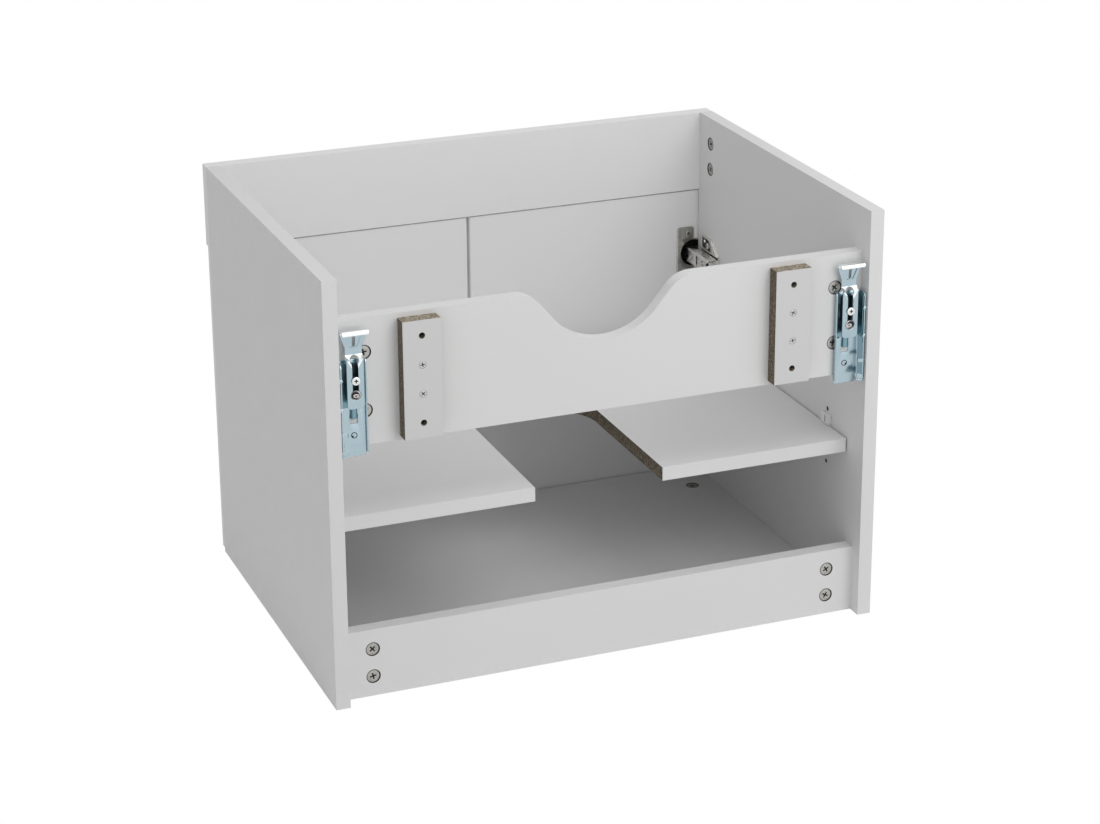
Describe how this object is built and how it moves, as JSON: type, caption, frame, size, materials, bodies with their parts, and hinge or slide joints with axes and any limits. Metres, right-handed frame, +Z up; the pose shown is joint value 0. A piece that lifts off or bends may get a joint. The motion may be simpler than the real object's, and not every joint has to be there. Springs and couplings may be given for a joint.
{
  "type": "wall-hung washbasin cabinet",
  "caption": "Open-topped white board cabinet for under a basin: fixed panel over two hinged doors, shelf cut out round the trap, adjustable wall hangers behind.",
  "frame": {"origin": "floor plane of the side panels' bottom edges, under the middle of the cabinet's bounding box", "axes": "+X towards the right hand of someone facing the doors, +Y towards the wall, +Z up"},
  "size_m": [0.636, 0.464, 0.48],
  "materials": {
    "melamine": "white melamine on chipboard, fine satin grain",
    "zinc_plate": "bright bluish zinc plating",
    "nickel_plate": "nickel plating",
    "cam_zinc": "die-cast zinc, nickel plated",
    "clear_plastic": "translucent moulded plastic"
  },
  "bodies": {
    "carcass": {"bottom_panel": "melamine", "fixed_front_panel": "melamine", "left_bottom_panel_cam": "cam_zinc", "left_front_panel_lower_cam": "cam_zinc", "left_front_panel_upper_cam": "cam_zinc", "left_front_shelf_clip": "clear_plastic", "left_hanger_clamp_screw": "zinc_plate", "left_hanger_housing": "zinc_plate", "left_lower_hinge_arm": "nickel_plate", "left_lower_hinge_plate": "nickel_plate", "left_lower_rail_lower_cam": "cam_zinc", "left_lower_rail_upper_cam": "cam_zinc", "left_lower_spacer_screw": "zinc_plate", "left_rear_shelf_clip": "clear_plastic", "left_side_panel": "melamine", "left_spacer_block": "melamine", "left_upper_hinge_arm": "nickel_plate", "left_upper_hinge_plate": "nickel_plate", "left_upper_rail_lower_cam": "cam_zinc", "left_upper_rail_upper_cam": "cam_zinc", "left_upper_spacer_screw": "zinc_plate", "lower_back_rail": "melamine", "right_bottom_panel_cam": "cam_zinc", "right_front_panel_lower_cam": "cam_zinc", "right_front_panel_upper_cam": "cam_zinc", "right_front_shelf_clip": "clear_plastic", "right_hanger_clamp_screw": "zinc_plate", "right_hanger_housing": "zinc_plate", "right_lower_hinge_arm": "nickel_plate", "right_lower_hinge_plate": "nickel_plate", "right_lower_rail_lower_cam": "cam_zinc", "right_lower_rail_upper_cam": "cam_zinc", "right_lower_spacer_screw": "zinc_plate", "right_rear_shelf_clip": "clear_plastic", "right_side_panel": "melamine", "right_spacer_block": "melamine", "right_upper_hinge_arm": "nickel_plate", "right_upper_hinge_plate": "nickel_plate", "right_upper_rail_lower_cam": "cam_zinc", "right_upper_rail_upper_cam": "cam_zinc", "right_upper_spacer_screw": "zinc_plate", "shelf": "melamine", "upper_back_rail": "melamine"},
    "right_door": {"right_door": "melamine", "right_upper_hinge_cup": "nickel_plate", "right_lower_hinge_cup": "nickel_plate"},
    "right_hook": {"right_hanger_hook": "zinc_plate"},
    "right_height_screw": {"right_hanger_height_screw": "zinc_plate"},
    "left_door": {"left_door": "melamine", "left_upper_hinge_cup": "nickel_plate", "left_lower_hinge_cup": "nickel_plate"},
    "left_hook": {"left_hanger_hook": "zinc_plate"},
    "left_height_screw": {"left_hanger_height_screw": "zinc_plate"}
  },
  "joints": [
    {"name": "right_door_hinge", "type": "hinge", "parent": "carcass", "child": "right_door", "pos_m": [0.309, -0.2255, 0.1905], "axis": [0, 0, 1], "range_deg": [0, 95]},
    {"name": "left_door_hinge", "type": "hinge", "parent": "carcass", "child": "left_door", "pos_m": [-0.309, -0.2255, 0.1905], "axis": [0, 0, -1], "range_deg": [0, 95]},
    {"name": "right_hook_lift", "type": "slide", "parent": "carcass", "child": "right_hook", "axis": [0, 0, 1], "range_m": [-0.005, 0.005]},
    {"name": "right_height_screw_turn", "type": "hinge", "parent": "right_hook", "child": "right_height_screw", "pos_m": [0.2834, 0.2254, 0.351], "axis": [0, 1, 0], "range_deg": [-60, 60]},
    {"name": "left_hook_lift", "type": "slide", "parent": "carcass", "child": "left_hook", "axis": [0, 0, 1], "range_m": [-0.005, 0.005]},
    {"name": "left_height_screw_turn", "type": "hinge", "parent": "left_hook", "child": "left_height_screw", "pos_m": [-0.2834, 0.2254, 0.351], "axis": [0, 1, 0], "range_deg": [-60, 60]}
  ],
  "couplings": [
    {"joint": "right_height_screw_turn", "follows": "right_hook_lift", "rad_per_m": 209},
    {"joint": "left_height_screw_turn", "follows": "left_hook_lift", "rad_per_m": 209}
  ]
}
